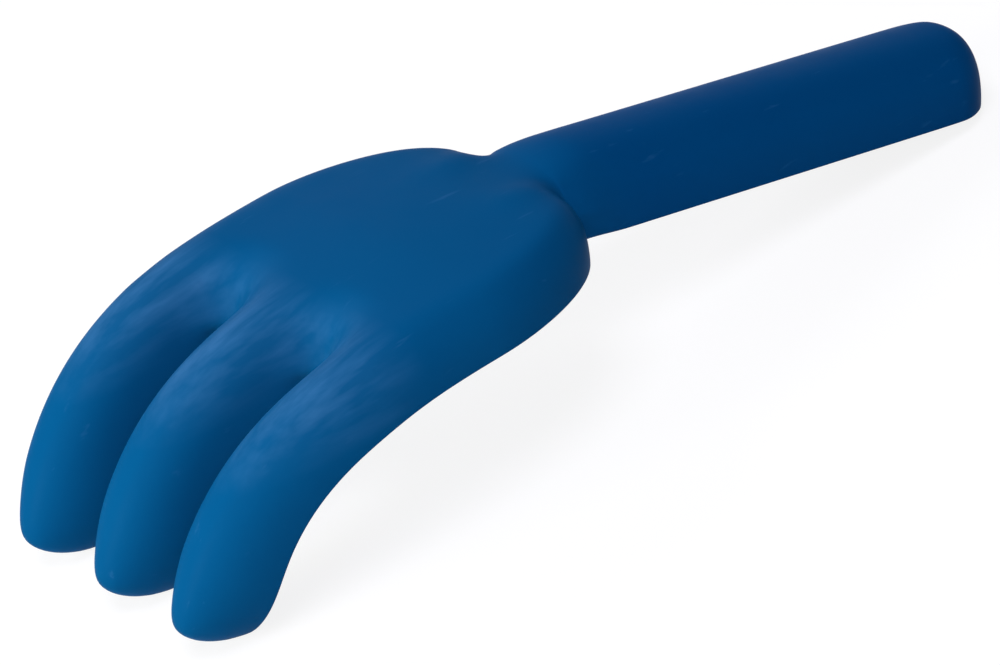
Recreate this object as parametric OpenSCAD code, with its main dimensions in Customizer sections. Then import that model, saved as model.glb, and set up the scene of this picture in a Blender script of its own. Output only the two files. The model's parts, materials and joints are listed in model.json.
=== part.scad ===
// Child's sand rake. It is one thin-walled plastic moulding, open underneath: a round-backed
// handle, a flat-topped palm with rolled edges, and three channel-shaped fingers that bend down
// to rounded tips. The moulding is divided at its neck and at the roots of its fingers into
// regions that meet face to face. Cross ribs stiffen the handle inside.
// Lengths are in millimetres. The rake stands as it is put down: its three fingertips and the
// rear end of its handle touch the ground. +X runs from the fingers to the handle, +Z is up, and
// the origin is on the ground below the middle of the rake.
//
// Every point is first placed along the crown line, the middle line of the back. s is the length
// along that line from the neck, positive towards the fingertips and negative along the handle.
// y is the distance to the side, and n the height above the crown line, square to it.

/* [Handle] */
// Length of the handle, from its rear end to the neck
handle_len = 113; // [100:0.1:130]
// Width of the handle across its rim
handle_w = 28; // [24:0.5:30]
// Height of the handle, from its rim to its crown
handle_h = 15; // [14:0.1:18]
// Height of the handle's crown above the crown of the palm
handle_rise = 3; // [1:0.1:4.5]
// Length over which the handle's crown runs out into the palm
rise_run = 30; // [22:1:36]
// Distance before the neck at which the handle's crown begins to run out
run_lead = 8; // [0:0.5:9]
// Length of the rounding of the handle's rear end, seen from above
heel_len = 13.5; // [9:0.5:16]
// Length over which the crown falls to the rear end
heel_fall = 7.5; // [6:0.5:9]
// Radius of the fillet between the handle's side and the shoulder of the palm
neck_fillet = 1; // [0.8:0.1:3]
// Downward turn of the crown line at the neck, in degrees
neck_turn = 6; // [2:0.2:10]

/* [Palm] */
// Length of the palm, from the neck to the ends of the finger gaps
palm_len = 62; // [58:0.5:66]
// Width of the palm at the end of its shoulders
palm_w = 71; // [66:0.5:78]
// Height of the palm, from its rim to its crown
palm_h = 11.7; // [10:0.1:13.5]
// Height by which the middle of the palm is domed
palm_dome = 1.1; // [0:0.1:2.5]
// Length of the rounded shoulders, from the neck
shoulder_len = 37; // [30:0.5:40]
// Radius of the rolled edge along the shoulders
shoulder_roll = 7; // [5:0.5:10]
// Length over which the palm rolls down to the end of a finger gap
scoop_len = 13; // [9:0.5:16]
// Radius of the crown line along the palm
palm_r = 370; // [250:10:600]

/* [Fingers] */
// Length of a finger along its crown, from the end of its gap to its tip
finger_len = 68; // [62:0.5:78]
// Width of a finger at its root
root_w = 17.8; // [16:0.1:19.5]
// Width of a finger where its tip begins to round off
tip_w = 16; // [14:0.1:17.5]
// Distance between the middles of two fingers at their roots
root_pitch = 26.5; // [25:0.1:29]
// Distance between the middles of two fingers at their tips
tip_pitch = 22.6; // [21.5:0.1:27]
// Height of a finger at its tip, from its rim to its crown
tip_h = 17.2; // [13:0.1:19]
// Radius of the crown line where the fingers bend
bend_r = 48; // [42:0.5:70]
// Length along the crown from the neck to where the bend begins
bend_start = 43; // [35:0.5:50]
// Length along the crown over which the bend tightens to its full radius
bend_ease = 46.5; // [30:0.5:60]
// Length of the rounding of a fingertip, seen from the front
tip_len = 22; // [16:0.5:26]
// Length over which the crown falls to the end of a fingertip
tip_fall = 6.7; // [5:0.1:10]
// Length over which the rim rises towards the end of a fingertip
tip_rise_len = 15; // [10:0.5:20]
// Height by which the rim rises at the end of a fingertip
tip_rise = 2.5; // [0:0.1:6]

/* [Wall and ribs] */
// Thickness of the moulding's wall
wall = 2.6; // [1.8:0.1:3]
// Height of the straight band along the rim
rim_band = 1; // [0.5:0.1:1.4]
// Number of cross ribs inside the handle
rib_count = 4; // [2:1:6]
// Thickness of a cross rib
rib_t = 1.8; // [1.2:0.1:2.4]
// Distance of the first and last rib from the ends of the straight handle
rib_margin = 12; // [8:1:20]

/* [Hidden] */
blue = "#004f86";

// Superellipse powers: arches and rolled edges, shoulders, handle's arch at the neck, scoops at the
// ends of the finger gaps, heel and fingertips
arch_power = 2.3;
shoulder_power = 1.75;
neck_power = 2;
scoop_power = 2.1;
heel_power = 1.9;
heel_fall_power = 1.9;
tip_power = 1.85;
tip_fall_power = 1.6;

// Half the length over which the crown line turns at the neck
neck_ease = 13;
// Height over which the handle's crown and the palm are blended
blend_h = 4;
// Lengths over which the palm's dome rises from the neck and falls to the fingers
dome_rise_run = 14;
dome_fall_run = 25;
// Share of a finger's length over which it turns in, and power by which its rim grows deeper
turn_share = 0.15;
rim_power = 1.6;
// Rounds in which the posture is brought level
level_rounds = 6;
// Steps of the crown line, and faces round an arch and along each stretch
line_steps = 260;
arch_faces = 16;
heel_rows = 9;
handle_rows = 6;
neck_rows = 5;
fillet_rows = 4;
shoulder_rows = 13;
palm_rows = 2;
roll_rows = 8;
web_rows = 3;
gap_rows = 4;
finger_rows = 9;
tip_rows = 9;

// Places along the crown line
crown_end = palm_len + finger_len;
gap_half = (root_pitch - root_w) / 2;
root_end = palm_len + gap_half;
palm_end = palm_len - wall;
neck_half = handle_w / 2 + neck_fillet;

function clamp(t) = max(0, min(1, t));
function ease(t) = let (u = clamp(t)) u * u * (3 - 2 * u);
function mix(a, b, t) = a + (b - a) * t;

// Height of a superellipse of this power over the share t of its half width, both from 0 to 1
function round_off(t, power) = pow(max(0, 1 - pow(clamp(t), power)), 1 / power);

// Share of the length and of the width of a superellipse quarter at an angle from its end
function along(angle, power) = pow(max(0, cos(angle)), 2 / power);
function across(angle, power) = pow(max(0, sin(angle)), 2 / power);

// Crown line: heading below level in degrees, then points in the plane of x and z
function turn_rate(r) = 180 / (PI * r);
bend_full = bend_start + bend_ease;
function bend_run(s) =
    s < bend_start ? 0 :
    s < bend_full ? pow(s - bend_start, 2) / (2 * bend_ease) :
    s - bend_start - bend_ease / 2;
function heading(s) =
    neck_turn * ease((s + neck_ease) / (2 * neck_ease))
    + turn_rate(palm_r) * max(s, 0)
    + (turn_rate(bend_r) - turn_rate(palm_r)) * bend_run(s);

line_step = (handle_len + crown_end) / line_steps;
function line_heading(i) = heading((i + 0.5) * line_step - handle_len);
crown_line = [
    for (
        i = 0, p = [0, 0];
        i <= line_steps;
        p = p - line_step * [cos(line_heading(i)), sin(line_heading(i))], i = i + 1
    ) p
];
function crown_point(s) =
    let (
        f = (s + handle_len) / line_step,
        i = min(max(floor(f), 0), line_steps - 1)
    ) mix(crown_line[i], crown_line[i + 1], f - i);
function flat_point(s, n) = crown_point(s) + n * [-sin(heading(s)), cos(heading(s))];

// Distance from the crown line down to the rim
function rim_depth(s) =
    mix(handle_h - handle_rise, palm_h, ease(1 + s / neck_ease))
    + (tip_h - palm_h) * pow(clamp((s - shoulder_len) / (crown_end - shoulder_len)), rim_power)
    - tip_rise * (1 - round_off((s - crown_end + tip_rise_len) / tip_rise_len, tip_power));

// Half widths. inset is 0 for the outside and the wall for the inside.
function handle_half(s, inset) =
    let (r = neck_fillet + inset, u = clamp((s + neck_fillet) / r))
    handle_w / 2 - inset + r * (1 - sqrt(1 - u * u));
function palm_half(s, inset) =
    mix(palm_w / 2, root_pitch + root_w / 2, clamp(s / palm_end)) - inset;

// Share by which a finger has turned in and grown narrower, from 0 at its root to 1 at its tip
function turned_in(s) =
    let (t = clamp((s - palm_len) / finger_len))
    (t < turn_share ? t * t / (2 * turn_share) : t - turn_share / 2) / (1 - turn_share / 2);
function finger_half(s) = mix(root_w, tip_w, turned_in(s)) / 2;
function gap_middle(s) = mix(root_pitch, tip_pitch, turned_in(s)) / 2;

// Half width of the gap between two fingers, which starts in a half round
function gap_side(s, inset) =
    s >= root_end ? gap_middle(s) - finger_half(s) + inset :
    sqrt(max(0, pow(gap_half + inset, 2) - pow(root_end - s, 2)));

// Distance in from the outer edge of the palm and fingers, with the rounded shoulders
function edge_distance(s, y, inset) =
    let (
        u = max(0, shoulder_len - s) / (shoulder_len - inset),
        side = (s < palm_len ? palm_half(s, inset) : 2 * gap_middle(s) + finger_half(s) - inset)
            - neck_half,
        v = max(0, abs(y) - neck_half) / side,
        power = shoulder_power - 1,
        h = pow(pow(u, shoulder_power) + pow(v, shoulder_power), 1 / shoulder_power),
        slope = norm([pow(u, power) / (shoulder_len - inset), pow(v, power) / side])
    ) slope == 0 ? palm_w : (1 - h) * pow(h, power) / slope;

// Distance from the nearest gap between two fingers
function gap_distance(s, y, inset) =
    s < root_end
        ? norm([root_end - s, abs(y) - gap_middle(s)]) - gap_half - inset
        : abs(abs(y) - gap_middle(s)) - gap_side(s, inset);

// Share by which a point lies beside a gap, 1, rather than behind its end, 0
function gap_aside(s, y) =
    let (behind = root_end - s, aside = abs(y) - gap_middle(s))
    behind <= 0 ? 1 : pow(aside, 2) / (pow(behind, 2) + pow(aside, 2));

// Height above the crown line of the palm with its rolled edges, and of the handle's ridge
function dome(s, y) =
    palm_dome * ease(s / dome_rise_run) * ease((palm_end - s) / dome_fall_run)
    * pow(max(0, 1 - pow(2 * y / palm_w, 2)), 2);
function palm_top(s, y, inset) =
    let (
        depth = rim_depth(s),
        edge_r = mix(shoulder_roll, root_w / 2, clamp(s / palm_len)) - inset,
        edge = round_off(1 - edge_distance(s, y, inset) / edge_r, arch_power),
        aside = gap_aside(s, y),
        gap_r = mix(scoop_len, finger_half(s), aside) - inset,
        gap_power = mix(scoop_power, arch_power, aside),
        gap = round_off(1 - gap_distance(s, y, inset) / gap_r, gap_power)
    ) (depth + dome(s, y) - inset) * edge * gap - depth;
function ridge_crown(s, inset) =
    rim_depth(s) + handle_rise - (handle_rise + blend_h) * ease((s + run_lead) / rise_run) - inset;
function ridge_half(s, inset) =
    inset > 0 ? handle_half(min(s, inset), inset) : handle_w / 2 + neck_fillet * ease(1 + s / neck_ease);
function ridge_power(s) = mix(arch_power, neck_power, clamp(1 + s / neck_ease));
function ridge_top(s, y, inset) =
    ridge_crown(s, inset) * round_off(abs(y) / ridge_half(s, inset), ridge_power(s))
    - rim_depth(s);

// The higher of two heights, with the corner between them filled, up to where the ridge ends
ridge_end = rise_run - run_lead;
function soft_max(a, b, k) = max(a, b) + pow(max(0, k - abs(a - b)), 2) / (4 * k);
function back_top(s, y, inset) =
    let (
        palm_n = palm_top(s, y, inset),
        ridge_n = ridge_top(s, y, inset),
        high = max(palm_n, ridge_n) + rim_depth(s)
    )
    high <= 0 ? -rim_depth(s) :
    s > ridge_end ? palm_n :
    soft_max(palm_n, ridge_n, min(blend_h, high));

// Posture: the lowest fingertip point and the heel are brought level
heel_point = flat_point(-handle_len, -rim_depth(-handle_len));
tip_points = [
    for (k = [0 : tip_rows])
    for (bottom = [0, 1])
    let (s = crown_end - tip_fall * (1 - along(90 * k / tip_rows, tip_fall_power)))
    flat_point(s, bottom == 1 ? -rim_depth(s) : finger_crown(s, 0) - rim_depth(s))
];
function turned(p, angle) = [p[0] * cos(angle) - p[1] * sin(angle), p[0] * sin(angle) + p[1] * cos(angle)];
function lowest(points, angle) =
    let (
        heights = [for (p = points) turned(p, angle)[1]],
        low = min(heights)
    ) [for (i = [0 : len(points) - 1]) if (heights[i] == low) points[i]][0];
function level(angle, tries) =
    tries == 0 ? angle :
    let (run = heel_point - lowest(tip_points, angle)) level(-atan2(run[1], run[0]), tries - 1);
tilt = level(0, level_rounds);
heel_points = [
    for (k = [0 : heel_rows])
    let (s = heel_s(90 * k / heel_rows, 0))
    flat_point(s, max(heel_crown(s, 0), rim_band) - rim_depth(s))
];
turned_xs = [for (p = concat(crown_line, heel_points)) turned(p, tilt)[0]];
base = [(min(turned_xs) + max(turned_xs)) / 2, turned(heel_point, tilt)[1]];

// Point in space
function place(s, y, n) = let (p = turned(flat_point(s, n), tilt) - base) [p[0], y, p[1]];

// Heights of the crown above the rim at the heel and along a finger
function heel_s(angle, inset) = -handle_len + heel_len - (heel_len - inset) * along(angle, heel_power);
function heel_crown(s, inset) =
    ridge_crown(s, inset) * round_off((heel_fall - handle_len - s) / (heel_fall - inset), heel_fall_power);
function finger_crown(s, inset) =
    (rim_depth(s) - inset) * round_off((s - crown_end + tip_fall) / (tip_fall - inset), tip_fall_power);

// A row is one arch: [s, ys, ns]. The outside gets its rim band and the rim, the inside its rim.
function arch_share(j) =
    let (c = cos(180 * j / arch_faces)) sign(c) * pow(abs(c), 2 / arch_power);
function rise_share(j) = across(180 * j / arch_faces, arch_power);
function row(s, ys, ns, outside) =
    let (
        depth = rim_depth(s),
        last = len(ys) - 1,
        floor_n = outside ? rim_band - depth : -depth
    ) concat(
        [place(s, ys[0], -depth)],
        [for (j = [0 : last]) place(s, ys[j], max(ns[j], floor_n))],
        [place(s, ys[last], -depth)]
    );

// Closed shell between an outer and an inner grid of points, with its ends closed where asked
function quad(p, a, b, c, d) =
    norm(p[a] - p[c]) <= norm(p[b] - p[d]) ? [[a, b, c], [a, c, d]] : [[a, b, d], [b, c, d]];
function solid_faces(p, faces) =
    [for (f = faces) if (p[f[0]] != p[f[1]] && p[f[1]] != p[f[2]] && p[f[2]] != p[f[0]]) f];
module shell(outer, inner, first_end, last_end) {
    rows = len(outer);
    cols = len(outer[0]);
    half = rows * cols;
    points = [for (grid = [outer, inner]) for (r = grid) for (p = r) p];
    quads = concat(
        [
            for (i = [0 : rows - 2])
            for (j = [0 : cols - 2])
            let (a = i * cols + j)
            each concat(
                quad(points, a, a + 1, a + cols + 1, a + cols),
                quad(points, half + a + cols, half + a + cols + 1, half + a + 1, half + a)
            )
        ],
        [
            for (i = [0 : rows - 2])
            let (a = i * cols, b = a + cols - 1)
            each concat(
                quad(points, a, a + cols, half + a + cols, half + a),
                quad(points, b + cols, b, half + b, half + b + cols)
            )
        ],
        [
            for (j = [0 : cols - 2])
            let (b = half - cols + j)
            each concat(
                first_end ? quad(points, j + 1, j, half + j, half + j + 1) : [],
                last_end ? quad(points, b, b + 1, half + b + 1, half + b) : []
            )
        ]
    );
    polyhedron(points, solid_faces(points, quads));
}

// Handle: the rounded heel, the straight grip and the fillets that run into the shoulders
fillet_turn = asin(neck_fillet / (neck_fillet + wall));
function handle_s(inset) = concat(
    [for (k = [0 : heel_rows]) heel_s(90 * k / heel_rows, inset)],
    [for (k = [1 : handle_rows]) mix(heel_len - handle_len, -neck_ease, sin(90 * k / handle_rows))],
    [for (k = [1 : neck_rows - 1]) mix(-neck_ease, -neck_fillet, k / neck_rows)],
    [
        for (k = [0 : fillet_rows])
        let (r = neck_fillet + inset, full = inset == 0 ? 90 : fillet_turn)
        r * sin(full * k / fillet_rows) - neck_fillet
    ]
);
function handle_grid(inset) = [
    for (s = handle_s(inset))
    let (
        heel = round_off((heel_len - handle_len - s) / (heel_len - inset), heel_power),
        half = handle_half(s, inset),
        narrow = half / ridge_half(s, inset),
        crown = heel_crown(s, inset)
    )
    row(
        s,
        [for (j = [0 : arch_faces]) half * heel * arch_share(j)],
        [
            for (j = [0 : arch_faces])
            crown * round_off(abs(arch_share(j)) * narrow, ridge_power(s)) - rim_depth(s)
        ],
        inset == 0
    )
];
module handle() {
    color(blue)
    shell(handle_grid(0), handle_grid(wall), false, true);
}

// Palm: the shoulders fan out from the neck, and its columns end as those of the three fingers
function neck_s(k, inset) =
    let (turn = mix(fillet_turn, 90, k / web_rows))
    inset == 0 ? 0 : (neck_fillet + inset) * sin(turn) - neck_fillet;
function roll_s(k) =
    let (
        r = scoop_len,
        first = 90,
        last = acos(pow(1 - wall / r, arch_power / 2))
    ) palm_len - r * (1 - along(mix(first, last, k / roll_rows), arch_power));
palm_s = concat(
    [for (k = [1 : palm_rows]) mix(shoulder_len, roll_s(0), k / palm_rows)],
    [for (k = [1 : roll_rows]) roll_s(k)]
);
function palm_row(s, half, inset) =
    let (
        inner_half = s <= inset
            ? handle_half(s, inset)
            : mix(neck_half, root_pitch / 2, (s - inset) / (palm_end - inset)),
        outer_half = max(half, inner_half),
        middle = (outer_half + inner_half) / 2,
        reach = (outer_half - inner_half) / 2,
        ys = concat(
            [for (j = [0 : arch_faces - 1]) middle + reach * arch_share(j)],
            [for (j = [0 : arch_faces]) inner_half * arch_share(j)],
            [for (j = [1 : arch_faces]) reach * arch_share(j) - middle]
        )
    ) row(s, ys, [for (y = ys) back_top(s, y, inset)], inset == 0);
function palm_grid(inset) = concat(
    [for (k = [0 : web_rows]) palm_row(neck_s(k, inset), 0, inset)],
    [
        for (k = [1 : shoulder_rows])
        let (
            turn = 90 * k / shoulder_rows,
            s = shoulder_len - (shoulder_len - inset) * along(turn, shoulder_power),
            spread = across(turn, shoulder_power)
        ) palm_row(s, mix(neck_half, palm_half(s, inset), spread), inset)
    ],
    [for (s = palm_s) palm_row(s, palm_half(s, inset), inset)]
);
module palm() {
    color(blue)
    shell(palm_grid(0), palm_grid(wall), true, true);
}

// Fingers: the root with the half-round end of the gap, the bend and the rounded tip.
// lane is 1, 0 or -1 for the right, middle or left finger.
root_s = concat(
    [for (k = [0 : web_rows]) palm_len - wall * pow(1 - k / web_rows, 2)],
    [for (k = [1 : gap_rows]) root_end - gap_half * cos(90 * k / gap_rows)]
);
function finger_s(inset) = concat(
    root_s,
    [for (k = [1 : finger_rows - 1]) mix(root_end, crown_end - tip_len, k / finger_rows)],
    [
        for (k = [0 : tip_rows])
        crown_end - tip_len + (tip_len - inset) * along(90 - 90 * k / tip_rows, tip_power)
    ]
);
function finger_row(s, lane, inset) =
    let (
        gap = gap_side(s, inset),
        near = lane == 0 ? gap - gap_middle(s) : gap_middle(s) + gap,
        far = lane == 0 ? gap_middle(s) - gap : 2 * gap_middle(s) + finger_half(s) - inset,
        half = (far - near) / 2 * round_off((s - crown_end + tip_len) / (tip_len - inset), tip_power),
        middle = (far + near) / 2,
        side = lane < 0 ? -1 : 1,
        ys = [for (j = [0 : arch_faces]) side * middle + half * arch_share(j)]
    )
    row(
        s,
        ys,
        [
            for (j = [0 : arch_faces])
            s < root_end
                ? palm_top(s, ys[j], inset)
                : finger_crown(s, inset) * rise_share(j) - rim_depth(s)
        ],
        inset == 0
    );
function finger_grid(lane, inset) = [for (s = finger_s(inset)) finger_row(s, lane, inset)];
module finger(lane) {
    color(blue)
    shell(finger_grid(lane, 0), finger_grid(lane, wall), true, false);
}
module finger_left() {
    finger(-1);
}
module finger_middle() {
    finger(0);
}
module finger_right() {
    finger(1);
}

// Cross ribs: slices of the channel's inside that stop short of the rim
rib_first = heel_len - handle_len + rib_margin;
rib_last = -neck_ease - rib_margin;
rib_skip = 1;
module rib(s) {
    ends = [s - rib_t / 2, s + rib_t / 2];
    half = handle_half(s, wall);
    crown = handle_h - wall;
    count = arch_faces - 2 * rib_skip + 1;
    points = [
        for (e = ends)
        for (j = [rib_skip : arch_faces - rib_skip])
        place(e, half * arch_share(j), crown * rise_share(j) - rim_depth(e))
    ];
    faces = concat(
        [[for (j = [0 : count - 1]) count - 1 - j]],
        [[for (j = [0 : count - 1]) count + j]],
        [for (j = [0 : count - 1]) let (k = (j + 1) % count) [j, k, count + k, count + j]]
    );
    polyhedron(points, faces);
}
module handle_ribs() {
    color(blue)
    for (k = [0 : rib_count - 1]) {
        rib(mix(rib_first, rib_last, k / (rib_count - 1)));
    }
}

handle();
palm();
finger_left();
finger_middle();
finger_right();
handle_ribs();
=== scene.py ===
# %% [markdown]
# # A child's sand rake, moulded in one shot of blue plastic
#
# The real rake is a thin shell of coloured polypropylene. Molten plastic was pressed into a steel mould, so
# the skin is smooth, its edges are all a little round, and light slides over it without a hard sparkle. We
# load the measured solids, light them as in a studio, give them one soft skin, and cut that into the named
# pieces again.

import json
import math

import bmesh
import bpy
from mathutils import Matrix, Vector
from mathutils.kdtree import KDTree

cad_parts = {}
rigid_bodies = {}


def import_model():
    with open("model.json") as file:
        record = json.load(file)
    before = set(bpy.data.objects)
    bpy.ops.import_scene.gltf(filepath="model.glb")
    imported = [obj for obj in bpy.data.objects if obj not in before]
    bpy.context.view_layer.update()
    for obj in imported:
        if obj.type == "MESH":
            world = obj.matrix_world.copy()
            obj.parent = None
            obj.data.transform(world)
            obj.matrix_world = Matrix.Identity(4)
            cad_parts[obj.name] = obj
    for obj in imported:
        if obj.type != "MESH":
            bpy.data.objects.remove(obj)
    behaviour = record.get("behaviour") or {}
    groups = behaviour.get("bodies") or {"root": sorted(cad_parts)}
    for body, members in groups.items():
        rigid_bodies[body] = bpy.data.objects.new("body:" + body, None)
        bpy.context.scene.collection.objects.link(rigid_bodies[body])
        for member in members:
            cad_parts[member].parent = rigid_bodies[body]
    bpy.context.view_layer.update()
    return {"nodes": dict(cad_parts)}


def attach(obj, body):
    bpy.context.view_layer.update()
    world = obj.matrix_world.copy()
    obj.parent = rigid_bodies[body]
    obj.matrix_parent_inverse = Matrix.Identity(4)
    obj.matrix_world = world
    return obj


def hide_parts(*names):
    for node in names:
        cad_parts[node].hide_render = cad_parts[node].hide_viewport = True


for leftover in list(bpy.data.objects):
    bpy.data.objects.remove(leftover)

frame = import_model()
mm = 0.001

# %% [markdown]
# ## Where the camera stands
#
# The rake was photographed from a little above, past the finger side, with a long lens that was also rolled
# by some degrees. A long lens far away keeps the sides of the handle nearly parallel. Three turns build the
# camera's attitude: round the vertical, down towards the floor, and the roll about its own line of sight.

# %% Camera
camera_azimuth = math.radians(-33.668)
camera_elevation = math.radians(32.279)
camera_roll = math.radians(-12.387)
camera_distance = 1.01847
aim = Vector((-7.53, 7.62, 3.20)) * mm

camera_lens = bpy.data.cameras.new("studio_camera")
camera_lens.lens = 194.18
camera_lens.sensor_width = 36
camera = bpy.data.objects.new("studio_camera", camera_lens)
attitude = (
    Matrix.Rotation(camera_azimuth, 4, "Z")
    @ Matrix.Rotation(math.radians(90) - camera_elevation, 4, "X")
    @ Matrix.Rotation(camera_roll, 4, "Z")
)
camera.matrix_world = Matrix.Translation(aim + attitude.to_3x3() @ Vector((0, 0, camera_distance))) @ attitude
bpy.context.scene.collection.objects.link(camera)
bpy.context.scene.camera = camera
print("camera stands at", [round(c, 3) for c in camera.matrix_world.translation])

# %% [markdown]
# ## Small helpers for shader nodes
#
# A finish is a little network of nodes. Three helpers keep the cells short: one adds a node and sets its
# sockets, one wires an output to a socket, and one does a sum with two values.

# %% Node helpers
def add_node(tree, kind, **sockets):
    """A new shader node. Sockets are named with underscores for spaces."""
    node = tree.nodes.new(kind)
    for name, value in sockets.items():
        node.inputs[name.replace("_", " ")].default_value = value
    return node


def wire(tree, source, output, target, socket):
    """Joins one node's output to another node's socket."""
    tree.links.new(source.outputs[output], target.inputs[socket])


def math_node(tree, operation, first, second):
    """A Math node fed by two outputs or numbers."""
    node = tree.nodes.new("ShaderNodeMath")
    node.operation = operation
    for socket, value in zip(node.inputs, (first, second)):
        if isinstance(value, (int, float)):
            socket.default_value = value
        else:
            tree.links.new(value, socket)
    return node.outputs["Value"]


# %% [markdown]
# ## A white background that costs no light
#
# A catalogue picture has a white ground. Turning up the lamps until the floor clips to white would bleach
# the rake too. Light Path knows which rays come straight from the camera, or through glass or a reflection,
# so only those rays see white, and the rake itself is lit by a quiet, slightly cool grey.

# %% World
def background_rays(tree):
    """1 for the rays that should see a white background."""
    path = tree.nodes.new("ShaderNodeLightPath")
    seen = math_node(tree, "MAXIMUM", path.outputs["Is Camera Ray"], path.outputs["Is Glossy Ray"])
    return math_node(tree, "MAXIMUM", seen, path.outputs["Is Transmission Ray"])


fill_level = 0.01
fill_tint = (0.86, 0.93, 1.0, 1)

world = bpy.data.worlds.new("white_room")
world.use_nodes = True
room = world.node_tree
room.nodes.clear()
white = add_node(room, "ShaderNodeBackground", Color=(1, 1, 1, 1), Strength=1)
quiet = add_node(room, "ShaderNodeBackground", Color=fill_tint, Strength=fill_level)
choose = room.nodes.new("ShaderNodeMixShader")
room_out = room.nodes.new("ShaderNodeOutputWorld")
room.links.new(background_rays(room), choose.inputs[0])
room.links.new(quiet.outputs[0], choose.inputs[1])
room.links.new(white.outputs[0], choose.inputs[2])
room.links.new(choose.outputs[0], room_out.inputs["Surface"])
bpy.context.scene.world = world
bpy.context.scene.view_settings.view_transform = "Standard"
print("fill light from the room:", fill_level)

# %% [markdown]
# ## The floor
#
# The floor is one large pale square at height zero, where the finger tips and the heel of the handle rest.
# To the camera it is partly a glow and partly a surface: the glow lifts it to white, and the surface part
# still loses its light under the rake, which leaves a soft shadow. Light that bounces from the floor up to
# the rake meets plain paper.

# %% Floor
floor_half = 2.5
paper_grey = (0.8, 0.8, 0.8, 1)
shadow_grey = (0.18, 0.18, 0.18, 1)
floor_glow = 0.86

floor_shape = bmesh.new()
bmesh.ops.create_grid(floor_shape, x_segments=1, y_segments=1, size=floor_half)
floor_mesh = bpy.data.meshes.new("floor")
floor_shape.to_mesh(floor_mesh)
floor_shape.free()
floor = bpy.data.objects.new("floor", floor_mesh)
bpy.context.scene.collection.objects.link(floor)

paper = bpy.data.materials.new("pale_floor")
paper.use_nodes = True
sheet = paper.node_tree
sheet.nodes.clear()
plain = add_node(sheet, "ShaderNodeBsdfDiffuse", Color=paper_grey)
dim = add_node(sheet, "ShaderNodeBsdfDiffuse", Color=shadow_grey)
glow = add_node(sheet, "ShaderNodeEmission", Color=(1, 1, 1, 1), Strength=floor_glow)
lifted = sheet.nodes.new("ShaderNodeAddShader")
floor_choice = sheet.nodes.new("ShaderNodeMixShader")
floor_out = sheet.nodes.new("ShaderNodeOutputMaterial")
sheet.links.new(dim.outputs[0], lifted.inputs[0])
sheet.links.new(glow.outputs[0], lifted.inputs[1])
sheet.links.new(background_rays(sheet), floor_choice.inputs[0])
sheet.links.new(plain.outputs[0], floor_choice.inputs[1])
sheet.links.new(lifted.outputs[0], floor_choice.inputs[2])
sheet.links.new(floor_choice.outputs[0], floor_out.inputs["Surface"])
floor_mesh.materials.append(paper)
print("floor is", 2 * floor_half, "m wide")

# %% [markdown]
# ## Soft boxes
#
# The picture's light comes from before the finger tips and is soft: there is no hard edge between light and
# shade. Large area lamps do that. A lamp's power grows with the square of its distance, so the helper takes a
# level instead, at which 1 lights a white card that faces the lamp to plain white. The key is a little warm
# and the lamps that fill its shade are a little cool, as daylight from the sky is.

# %% Lamps
lamp_distance = 1.2
lamp_size = 0.6


def softbox(name, azimuth, elevation, level, tint):
    """A round area lamp. Azimuth 0 is at the side of the left finger, 270 is before the finger tips."""
    lamp = bpy.data.lights.new(name, "AREA")
    lamp.shape = "DISK"
    lamp.size = lamp_size
    lamp.color = tint
    lamp.energy = level * (math.pi * lamp_distance) ** 2
    box = bpy.data.objects.new(name, lamp)
    facing = Matrix.Rotation(math.radians(azimuth), 4, "Z") @ Matrix.Rotation(
        math.radians(90 - elevation), 4, "X"
    )
    box.matrix_world = facing @ Matrix.Translation((0, 0, lamp_distance))
    bpy.context.scene.collection.objects.link(box)
    print(name, "level", level)


warm = (1, 1, 0.84)
cool = (0.86, 0.86, 1)
faintly_cool = (0.93, 0.93, 1)

softbox("key_box", azimuth=270, elevation=15, level=0.734, tint=warm)
softbox("top_box", azimuth=310, elevation=65, level=0.585, tint=cool)
softbox("side_box", azimuth=320, elevation=38, level=0.200, tint=cool)
softbox("far_box", azimuth=190, elevation=38, level=0.361, tint=faintly_cool)
softbox("edge_box", azimuth=160, elevation=15, level=0.077, tint=cool)

# %% [markdown]
# ## Tools for patterns
#
# The rake has one material, but its surface changes from place to place. Each change is a noise, or a place
# along the rake, that is stretched to a useful range and then mixes two colours. These three steps come back
# for every pattern, so each gets a helper. The patterns read object coordinates, which are in metres here, so
# a scale of 100 gives spots of about one centimetre.

# %% Pattern helpers
def noise_on(tree, vector, scale, detail, roughness):
    """A cloudy pattern on a vector output."""
    noise = add_node(tree, "ShaderNodeTexNoise", Scale=scale, Detail=detail, Roughness=roughness)
    tree.links.new(vector, noise.inputs["Vector"])
    return noise.outputs["Fac"]


def stretched(tree, vector, scale, turn=(0, 0, 0)):
    """Object coordinates that are drawn out, so that a pattern on them becomes streaks."""
    mapping = add_node(tree, "ShaderNodeMapping", Scale=scale, Rotation=turn)
    tree.links.new(vector, mapping.inputs["Vector"])
    return mapping.outputs["Vector"]


def ramp(tree, value, start, end, low, high, kind="LINEAR"):
    """Turns a value that runs from start to end into one that runs from low to high."""
    node = add_node(tree, "ShaderNodeMapRange", From_Min=start, From_Max=end, To_Min=low, To_Max=high)
    node.interpolation_type = kind
    tree.links.new(value, node.inputs["Value"])
    return node.outputs["Result"]


def blended(tree, factor, first, second):
    """A colour between two. The first may be a plain colour or another node's output."""
    mix = tree.nodes.new("ShaderNodeMix")
    mix.data_type = "RGBA"
    tree.links.new(factor, mix.inputs["Factor"])
    if isinstance(first, tuple):
        mix.inputs["A"].default_value = first
    else:
        tree.links.new(first, mix.inputs["A"])
    mix.inputs["B"].default_value = second
    return mix.outputs["Result"]


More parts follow.
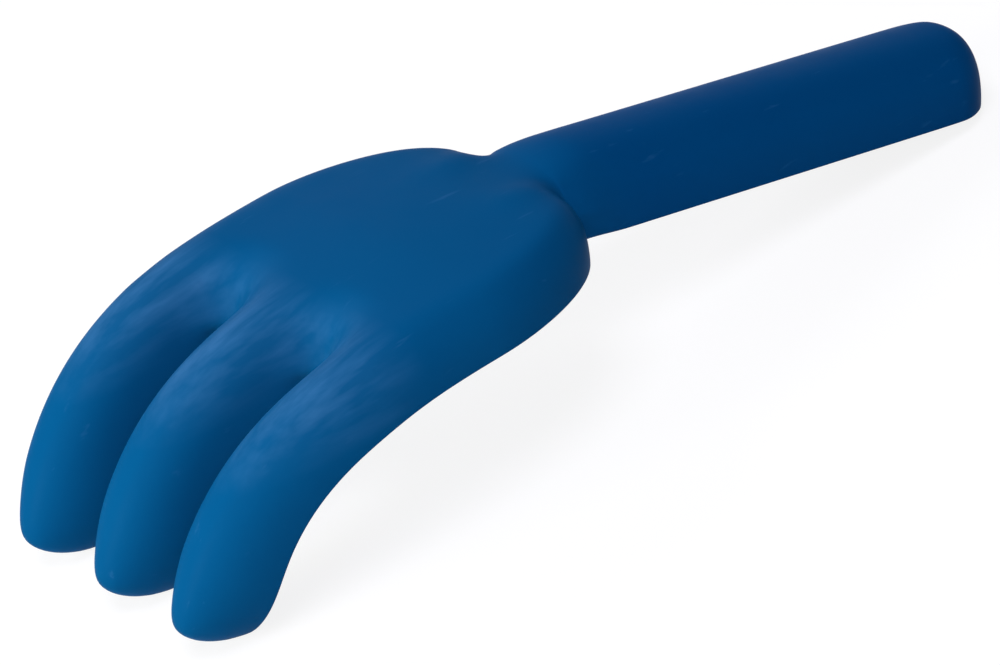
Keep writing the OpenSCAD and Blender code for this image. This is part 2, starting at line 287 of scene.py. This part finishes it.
# %% [markdown]
# ## The blue of the plastic, with painted shade on the handle
#
# Pigment doesn't mix perfectly, so the blue drifts by a hair over some centimetres. The handle is painted a
# deeper
# blue than the palm and the fingers: painted shade, because its faces turn away from the key light. So one
# blue turns into the other along the rake, about at the neck, and a large soft noise moves the border about.

# %% Blue along the rake
# The handle's deeper blue below is painted shade, not a different pigment.
handle_blue_painted_shade = (0.0, 0.060, 0.196, 1)
palm_and_finger_blue = (0.0012, 0.082, 0.222, 1)
handle_from, palm_from = 20 * mm, -10 * mm
handle_share, palm_share = 0.1, 0.9
drift_scale = 26
drift_middle, drift_strength = 0.5, 0.35


def blue_along_rake(tree, place, axes):
    """The pigment with its drift, painted a deeper blue on the handle as shade and paler on the palm and the
    fingers.
    """
    towards_palm = ramp(tree, axes["X"], handle_from, palm_from, handle_share, palm_share, "SMOOTHSTEP")
    drift = noise_on(tree, place, drift_scale, detail=2, roughness=0.5)
    centred = math_node(tree, "SUBTRACT", drift, drift_middle)
    faint = math_node(tree, "MULTIPLY", centred, drift_strength)
    return blended(tree, math_node(tree, "ADD", towards_palm, faint), handle_blue_painted_shade, palm_and_finger_blue)


# %% [markdown]
# ## Scratches, and a painted highlight on the crests
#
# Single grains of sand draw fine scratches all over. On the crests of the finger roots a highlight is painted
# into the colour, broken into pale lanes that follow the fingers. Both start from the same kind of noise,
# drawn out along the rake. The crests are found by their height and by how far forward they lie.

# %% Scratches and painted highlight
# The pale blue of the scratches, also used for the painted highlight on the crests.
scratch_and_highlight_blue = (0.035, 0.150, 0.345, 1)
scratch_stretch, scratch_turn = (60, 520, 300), (0, 0.2, 0.25)
scratch_from, scratch_full, scratch_strength = 0.66, 0.74, 0.22
lane_stretch = (35, 240, 240)
lane_from, lane_full = 0.4, 0.7
lane_least, lane_most = 0.12, 0.72
crest_low, crest_high = 30 * mm, 40 * mm
crest_back, crest_front = -52 * mm, -62 * mm


def scratches(tree, place):
    """Fine lines where single grains of sand ran along the rake."""
    lines = noise_on(tree, stretched(tree, place, scratch_stretch, scratch_turn), 1, detail=3, roughness=0.6)
    return ramp(tree, lines, scratch_from, scratch_full, 0, scratch_strength)


def painted_crest_highlight(tree, place, axes):
    """A painted highlight: pale lanes on the highest places of the finger roots."""
    lane_noise = noise_on(tree, stretched(tree, place, lane_stretch), 1, detail=3, roughness=0.6)
    lanes = ramp(tree, lane_noise, lane_from, lane_full, lane_least, lane_most)
    high = ramp(tree, axes["Z"], crest_low, crest_high, 0, 1)
    forward = ramp(tree, axes["X"], crest_back, crest_front, 0, 1)
    return math_node(tree, "MULTIPLY", math_node(tree, "MULTIPLY", high, forward), lanes)


# %% [markdown]
# ## The finish of the skin
#
# The mould's polish has a fine grain, and sand has dulled it in soft patches. The picture shows a satin
# face that mirrors next to nothing, not even at its edges, so the mirror share is set very low. The grain is
# a bump of a few hundredths of a millimetre, which breaks the light up softly without showing as a pattern.

# %% Plastic
plastic_ior = 1.49
mirror_level = 0.007
patch_scale, patch_from, patch_full = 140, 0.3, 0.7
roughness_low, roughness_high = 0.38, 0.47
grain_scale, grain_strength, grain_depth = 1900, 0.25, 0.04 * mm


def moulded_plastic():
    """The rake's satin blue, from large drift down to the mould's grain."""
    finish = bpy.data.materials.new("moulded_blue_plastic")
    finish.use_nodes = True
    tree = finish.node_tree
    tree.nodes.clear()
    surface = add_node(
        tree, "ShaderNodeBsdfPrincipled", IOR=plastic_ior, Specular_IOR_Level=mirror_level
    )
    wire(tree, surface, "BSDF", tree.nodes.new("ShaderNodeOutputMaterial"), "Surface")
    place = tree.nodes.new("ShaderNodeTexCoord").outputs["Object"]
    split = tree.nodes.new("ShaderNodeSeparateXYZ")
    tree.links.new(place, split.inputs["Vector"])

    lines = scratches(tree, place)
    # The fine lines are scratches; the pale lanes on the crests are a painted highlight.
    scratches_and_highlight = math_node(tree, "MAXIMUM", painted_crest_highlight(tree, place, split.outputs), lines)
    colour = blended(tree, scratches_and_highlight, blue_along_rake(tree, place, split.outputs), scratch_and_highlight_blue)
    tree.links.new(colour, surface.inputs["Base Color"])

    patches = noise_on(tree, place, patch_scale, detail=4, roughness=0.55)
    dull = ramp(tree, patches, patch_from, patch_full, roughness_low, roughness_high)
    tree.links.new(dull, surface.inputs["Roughness"])

    grain = noise_on(tree, place, grain_scale, detail=2, roughness=0.5)
    bump = add_node(tree, "ShaderNodeBump", Strength=grain_strength, Distance=grain_depth)
    tree.links.new(math_node(tree, "ADD", grain, lines), bump.inputs["Height"])
    wire(tree, bump, "Normal", surface, "Normal")
    print(finish.name, "has", len(tree.nodes), "nodes")
    return finish


blue_plastic = moulded_plastic()

# %% [markdown]
# ## One skin over five measured solids
#
# The handle, the palm and the three fingers are one moulding, and on the real rake no line runs between
# them. The measured solids meet face to face. So we copy them into one mesh, merge the points where they
# touch, and find the faces shut in between two of them. Without these, a single closed skin is left.

# %% Gather the five solids
regions = ["handle", "palm", "finger_left", "finger_middle", "finger_right"]
number_of = {name: number for number, name in enumerate(regions, 1)}
touching = 0.05 * mm

skin = bmesh.new()
region_of = skin.faces.layers.int.new("region")
for name in regions:
    skin.from_mesh(frame["nodes"][name].data)
    for face in skin.faces:
        if face[region_of] == 0:
            face[region_of] = number_of[name]
bmesh.ops.remove_doubles(skin, verts=skin.verts, dist=touching)


def regions_at(vert):
    """Numbers of the regions that meet at a point."""
    return {face[region_of] for face in vert.link_faces}


seam_verts = [vert for vert in skin.verts if len(regions_at(vert)) > 1]
on_seam = set(seam_verts)
shut_in = [face for face in skin.faces if on_seam.issuperset(face.verts)]
print("merged mesh:", len(skin.faces), "triangles, of which", len(shut_in), "are shut in")

# %% [markdown]
# ## Where the regions meet
#
# The skin will be cut into its named pieces again later, and it is worked over near the same places. So the
# planes between the regions are measured now, from the points that two regions share. Then the shut-in faces
# can go.

# %% Planes of the cuts
across = Vector((0, 1, 0))


def seam_between(first, *others):
    """Places of the points where one region meets any of the others."""
    numbers = {number_of[name] for name in others}
    shared = [vert for vert in seam_verts if number_of[first] in regions_at(vert)]
    return [vert.co.copy() for vert in shared if numbers & regions_at(vert)]


def middle_of(points):
    """The average of some places."""
    return sum(points, Vector()) / len(points)


def plane_through(points):
    """Middle of a cut through these points, and its normal, which points towards the handle."""
    upright = max(points, key=lambda p: p.z) - min(points, key=lambda p: p.z)
    normal = across.cross(Vector((upright.x, 0, upright.z)))
    if normal.x < 0:
        normal.negate()
    return middle_of(points), normal.normalized()


neck_cut = plane_through(seam_between("handle", "palm"))
root_cut = plane_through(seam_between("palm", "finger_left", "finger_middle", "finger_right"))
left_cut = (middle_of(seam_between("finger_left", "finger_middle")), across)
right_cut = (middle_of(seam_between("finger_right", "finger_middle")), across)
bmesh.ops.delete(skin, geom=shut_in, context="FACES")
for cut_name, cut in (("neck", neck_cut), ("finger roots", root_cut)):
    print(cut_name, "cut at", [round(c / mm, 1) for c in cut[0]], "mm")
print("closed skin:", len(skin.faces), "triangles")

# %% [markdown]
# ## From triangles to quads, with a rim that holds
#
# A measured solid is made of small flat triangles. Joined in pairs they become a grid of quads, which is what
# a Subdivision Surface rounds evenly. The sharp corners of the rim would be rounded too far and shrink the
# rake, so they get a crease, which holds them for the first level and lets the second one round them by a
# hair. The rim also has to stay straight while the rest is worked over, so we keep a tree of its points that
# quickly tells how far any place is from it.

# %% Quads and rim
join_face_angle = math.radians(70)
join_shape_angle = math.radians(170)
rim_corner = math.radians(50)
rim_crease = 0.4
rim_hold, rim_free = 1 * mm, 4 * mm

bmesh.ops.join_triangles(
    skin,
    faces=skin.faces[:],
    angle_face_threshold=join_face_angle,
    angle_shape_threshold=join_shape_angle,
    topology_influence=1,
)
crease_of = skin.edges.layers.float.new("crease_edge")
rim_edges = [edge for edge in skin.edges if edge.calc_face_angle(0) > rim_corner]
for edge in rim_edges:
    edge[crease_of] = rim_crease

on_rim = {vert for edge in rim_edges for vert in edge.verts}
rim_places = [vert.co.copy() for vert in skin.verts if vert in on_rim]
rim_tree = KDTree(len(rim_places))
for number, place in enumerate(rim_places):
    rim_tree.insert(place, number)
rim_tree.balance()


def fade(distance, full, none):
    """1 up to the first distance, 0 from the second one, with a soft run between them."""
    share = min(max((none - distance) / (none - full), 0), 1)
    return share * share * (3 - 2 * share)


def rim_freedom(place):
    """0 at the rim, 1 at some distance from it."""
    _, _, distance = rim_tree.find(place)
    return 1 - fade(distance, rim_hold, rim_free)


print("rim points:", len(rim_places))

# %% [markdown]
# ## Carving the neck
#
# Where the handle's round back runs out into the flat palm, the picture shows a shallow valley, and beside it
# the skin stays a little fuller. A sculptor would push the clay down in the middle and up at both sides. We
# do that with a height for each place: bell-shaped curves leave no edge, and the rim is left alone.

# %% Valley and webs
valley_depth = 0.6 * mm
valley_place, valley_run = 3 * mm, 6 * mm
valley_full, valley_none = 3 * mm, 11 * mm
web_height = 0.9 * mm
web_place, web_run = 3 * mm, 7 * mm
web_aside, web_breadth = 9 * mm, 3.5 * mm


def bell(distance, run):
    """1 at no distance, falling off on both sides like a bell."""
    return math.exp(-((distance / run) ** 2) / 2)


def raised(place):
    """How far the skin rises: up beside the handle's crown, down in the shallow valley behind the palm."""
    into_palm = (neck_cut[0] - place).dot(neck_cut[1])
    aside = abs(place.y)
    valley = valley_depth * fade(aside, valley_full, valley_none) * bell(into_palm - valley_place, valley_run)
    web = web_height * bell(aside - web_aside, web_breadth) * bell(into_palm - web_place, web_run)
    return web - valley


rises = [raised(vert.co) * rim_freedom(vert.co) for vert in skin.verts]
for vert, rise in zip(skin.verts, rises):
    vert.co.z += rise
print("deepest and highest carving in mm:", round(min(rises) / mm, 2), round(max(rises) / mm, 2))

# %% [markdown]
# ## Strokes with a stone
#
# Solids that meet face to face have faint kinks where they meet, at the finger roots and on the neck. A mould
# maker blends these with a small stone, in strokes along the rake. We do the same: each point near the two
# planes is drawn towards its neighbours before and behind it, never to those beside it, so the fingers keep
# their round section. The strength fades out away from the planes and towards the rim. Every round works out
# all the new places first and then moves the points, so the order of the points doesn't matter.

# %% Strokes along the rake
root_full, root_none = 4 * mm, 11 * mm
neck_full, neck_none = 3 * mm, 10 * mm
crown_full, crown_none = 5 * mm, 10 * mm
stroke_count = 10


def distance_from(cut, place):
    """How far a place is from the plane of a cut."""
    middle, normal = cut
    return abs((place - middle).dot(normal))


def stroke_strength(place):
    """How strongly a place is stroked, from 0 to 1."""
    near_root = fade(distance_from(root_cut, place), root_full, root_none)
    near_neck = fade(distance_from(neck_cut, place), neck_full, neck_none)
    on_crown = fade(abs(place.y), crown_full, crown_none)
    return max(near_root, near_neck * on_crown) * rim_freedom(place)


def stroke(vert, strength):
    """Where one stroke along the rake takes a point."""
    others = [edge.other_vert(vert).co for edge in vert.link_edges]
    before = max(others, key=lambda other: (other - vert.co).normalized().dot(root_cut[1]))
    behind = min(others, key=lambda other: (other - vert.co).normalized().dot(root_cut[1]))
    return vert.co.lerp((before + behind) / 2, strength / 2)


def work_over(strength_at, move, count):
    """Repeats a small move on all the points where its strength is above zero."""
    strengths = {vert: strength_at(vert.co) for vert in skin.verts}
    strengths = {vert: strength for vert, strength in strengths.items() if strength > 0}
    for _ in range(count):
        skin.normal_update()
        moved = {vert: move(vert, strength) for vert, strength in strengths.items()}
        for vert, place in moved.items():
            vert.co = place
    return len(strengths)


print("stroked points:", work_over(stroke_strength, stroke, stroke_count), "of", len(skin.verts))

# %% [markdown]
# ## Fillets in the corners
#
# On a real moulding the corners between the shoulders and the handle are filled a little, because a sharp
# inner corner tears easily. A fillet adds material and never takes any away. So a point moves towards the
# middle of all its neighbours only where that leads outwards: hollows are filled, and bulges stay.

# %% Fillets
fillet_full, fillet_none = 3 * mm, 9 * mm
fillet_from, fillet_to = 6 * mm, 10 * mm
fillet_count = 30


def fillet_strength(place):
    """How strongly a place beside the neck's crown is filled, from 0 to 1."""
    near_neck = fade(distance_from(neck_cut, place), fillet_full, fillet_none)
    off_crown = 1 - fade(abs(place.y), fillet_from, fillet_to)
    return near_neck * off_crown * rim_freedom(place)


def fill(vert, strength):
    """Where one round of filling takes a point."""
    way = middle_of([edge.other_vert(vert).co for edge in vert.link_edges]) - vert.co
    outwards = way.dot(vert.normal) >= 0
    return vert.co + way * strength / 2 if outwards else vert.co.copy()


print("filled corners:", work_over(fillet_strength, fill, fillet_count), "points")

# %% [markdown]
# ## A smooth skin
#
# A Subdivision Surface splits each quad and pulls its points to a smooth surface. Two levels are enough for a
# close view: each quad becomes sixteen. The result is taken as a plain mesh, because it will be cut.

# %% Subdivision
smoothing_levels = 2

skin_mesh = bpy.data.meshes.new("moulding_skin")
skin.to_mesh(skin_mesh)
skin.free()
skin_object = bpy.data.objects.new("moulding_skin", skin_mesh)
bpy.context.scene.collection.objects.link(skin_object)
smoothing = skin_object.modifiers.new("smooth", "SUBSURF")
smoothing.levels = smoothing_levels
smoothing.render_levels = smoothing_levels
graph = bpy.context.evaluated_depsgraph_get()
fine_mesh = bpy.data.meshes.new_from_object(skin_object.evaluated_get(graph))
bpy.data.objects.remove(skin_object)
quads = sum(len(face.vertices) == 4 for face in skin_mesh.polygons)
print("coarse skin:", quads, "quads of", len(skin_mesh.polygons), "faces")
print("fine skin:", len(fine_mesh.polygons), "faces")

# %% [markdown]
# ## Cut the skin back into its named pieces
#
# The moulding stays an assembly of named pieces: each is the skin between flat cuts, closed there. If each
# piece worked out its own surface normals, a faint line would show at every cut. So the whole skin's normals
# are kept on its points first, and handed back to the pieces.

# %% Cuts
cut_tolerance = 1e-7

shape_of_skin = bmesh.new()
shape_of_skin.from_mesh(fine_mesh)
kept_normal = shape_of_skin.verts.layers.float_vector.new("skin_normal")
shape_of_skin.normal_update()
for vert in shape_of_skin.verts:
    vert[kept_normal] = vert.normal


def keep_side(shape, cut, side):
    """Cuts a shape and keeps the part on one side of the plane, with the cut closed."""
    place, normal = cut
    made = bmesh.ops.bisect_plane(
        shape,
        geom=shape.verts[:] + shape.edges[:] + shape.faces[:],
        dist=cut_tolerance,
        plane_co=place,
        plane_no=normal * side,
        clear_inner=True,
    )
    rim = [item for item in made["geom_cut"] if isinstance(item, bmesh.types.BMEdge)]
    closed = bmesh.ops.triangle_fill(shape, edges=rim, use_beauty=True, normal=-normal * side)
    return [item for item in closed["geom"] if isinstance(item, bmesh.types.BMFace)]


def moulded_piece(name, cuts):
    """One named piece of the skin, between its cuts, that stands for the measured solid of that name."""
    shape = shape_of_skin.copy()
    normals = shape.verts.layers.float_vector["skin_normal"]
    cap_mark = shape.faces.layers.int.new("cap")
    for cut, side in cuts:
        for face in keep_side(shape, cut, side):
            face[cap_mark] = 1
    corner_normals = []
    for face in shape.faces:
        face.smooth = True
        is_cap = face[cap_mark] == 1
        for vert in face.verts:
            corner_normals.append(face.normal.copy() if is_cap else vert[normals].normalized())
    mesh = bpy.data.meshes.new(name + "_skin")
    shape.to_mesh(mesh)
    open_edges = sum(not edge.is_manifold for edge in shape.edges)
    shape.free()
    mesh.normals_split_custom_set(corner_normals)
    mesh.materials.clear()
    mesh.materials.append(blue_plastic)
    piece = bpy.data.objects.new(name + "_skin", mesh)
    bpy.context.scene.collection.objects.link(piece)
    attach(piece, "root")
    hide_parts(name)
    print(piece.name, len(mesh.polygons), "faces,", open_edges, "open edges")


moulded_piece("handle", [(neck_cut, 1)])
moulded_piece("palm", [(neck_cut, -1), (root_cut, 1)])
moulded_piece("finger_left", [(root_cut, -1), (left_cut, -1)])
moulded_piece("finger_middle", [(root_cut, -1), (left_cut, 1), (right_cut, -1)])
moulded_piece("finger_right", [(root_cut, -1), (right_cut, 1)])

# %% [markdown]
# ## Ribs inside the handle
#
# Under the handle, thin cross ribs keep the channel from twisting. They are copied from their measured
# solid, and their edges are rounded, as no edge leaves a mould razor sharp.

# %% Ribs
rib_edge_r = 0.3 * mm
rib_corner = math.radians(35)

ribs = bmesh.new()
ribs.from_mesh(frame["nodes"]["handle_ribs"].data)
bmesh.ops.remove_doubles(ribs, verts=ribs.verts, dist=touching)
sharp_edges = [edge for edge in ribs.edges if edge.calc_face_angle(0) > rib_corner]
bmesh.ops.bevel(
    ribs, geom=sharp_edges, offset=rib_edge_r, affect="EDGES", segments=2, profile=0.5, material=-1
)
ribs_mesh = bpy.data.meshes.new("handle_ribs_rounded")
ribs.to_mesh(ribs_mesh)
ribs.free()
ribs_mesh.materials.clear()
ribs_mesh.materials.append(blue_plastic)
ribs_piece = bpy.data.objects.new("handle_ribs_rounded", ribs_mesh)
bpy.context.scene.collection.objects.link(ribs_piece)
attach(ribs_piece, "root")
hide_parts("handle_ribs")
print("ribs:", len(ribs_mesh.polygons), "faces")

# %% [markdown]
# ## Finish
#
# The view layer is brought up to date.

# %% Finish
bpy.context.view_layer.update()
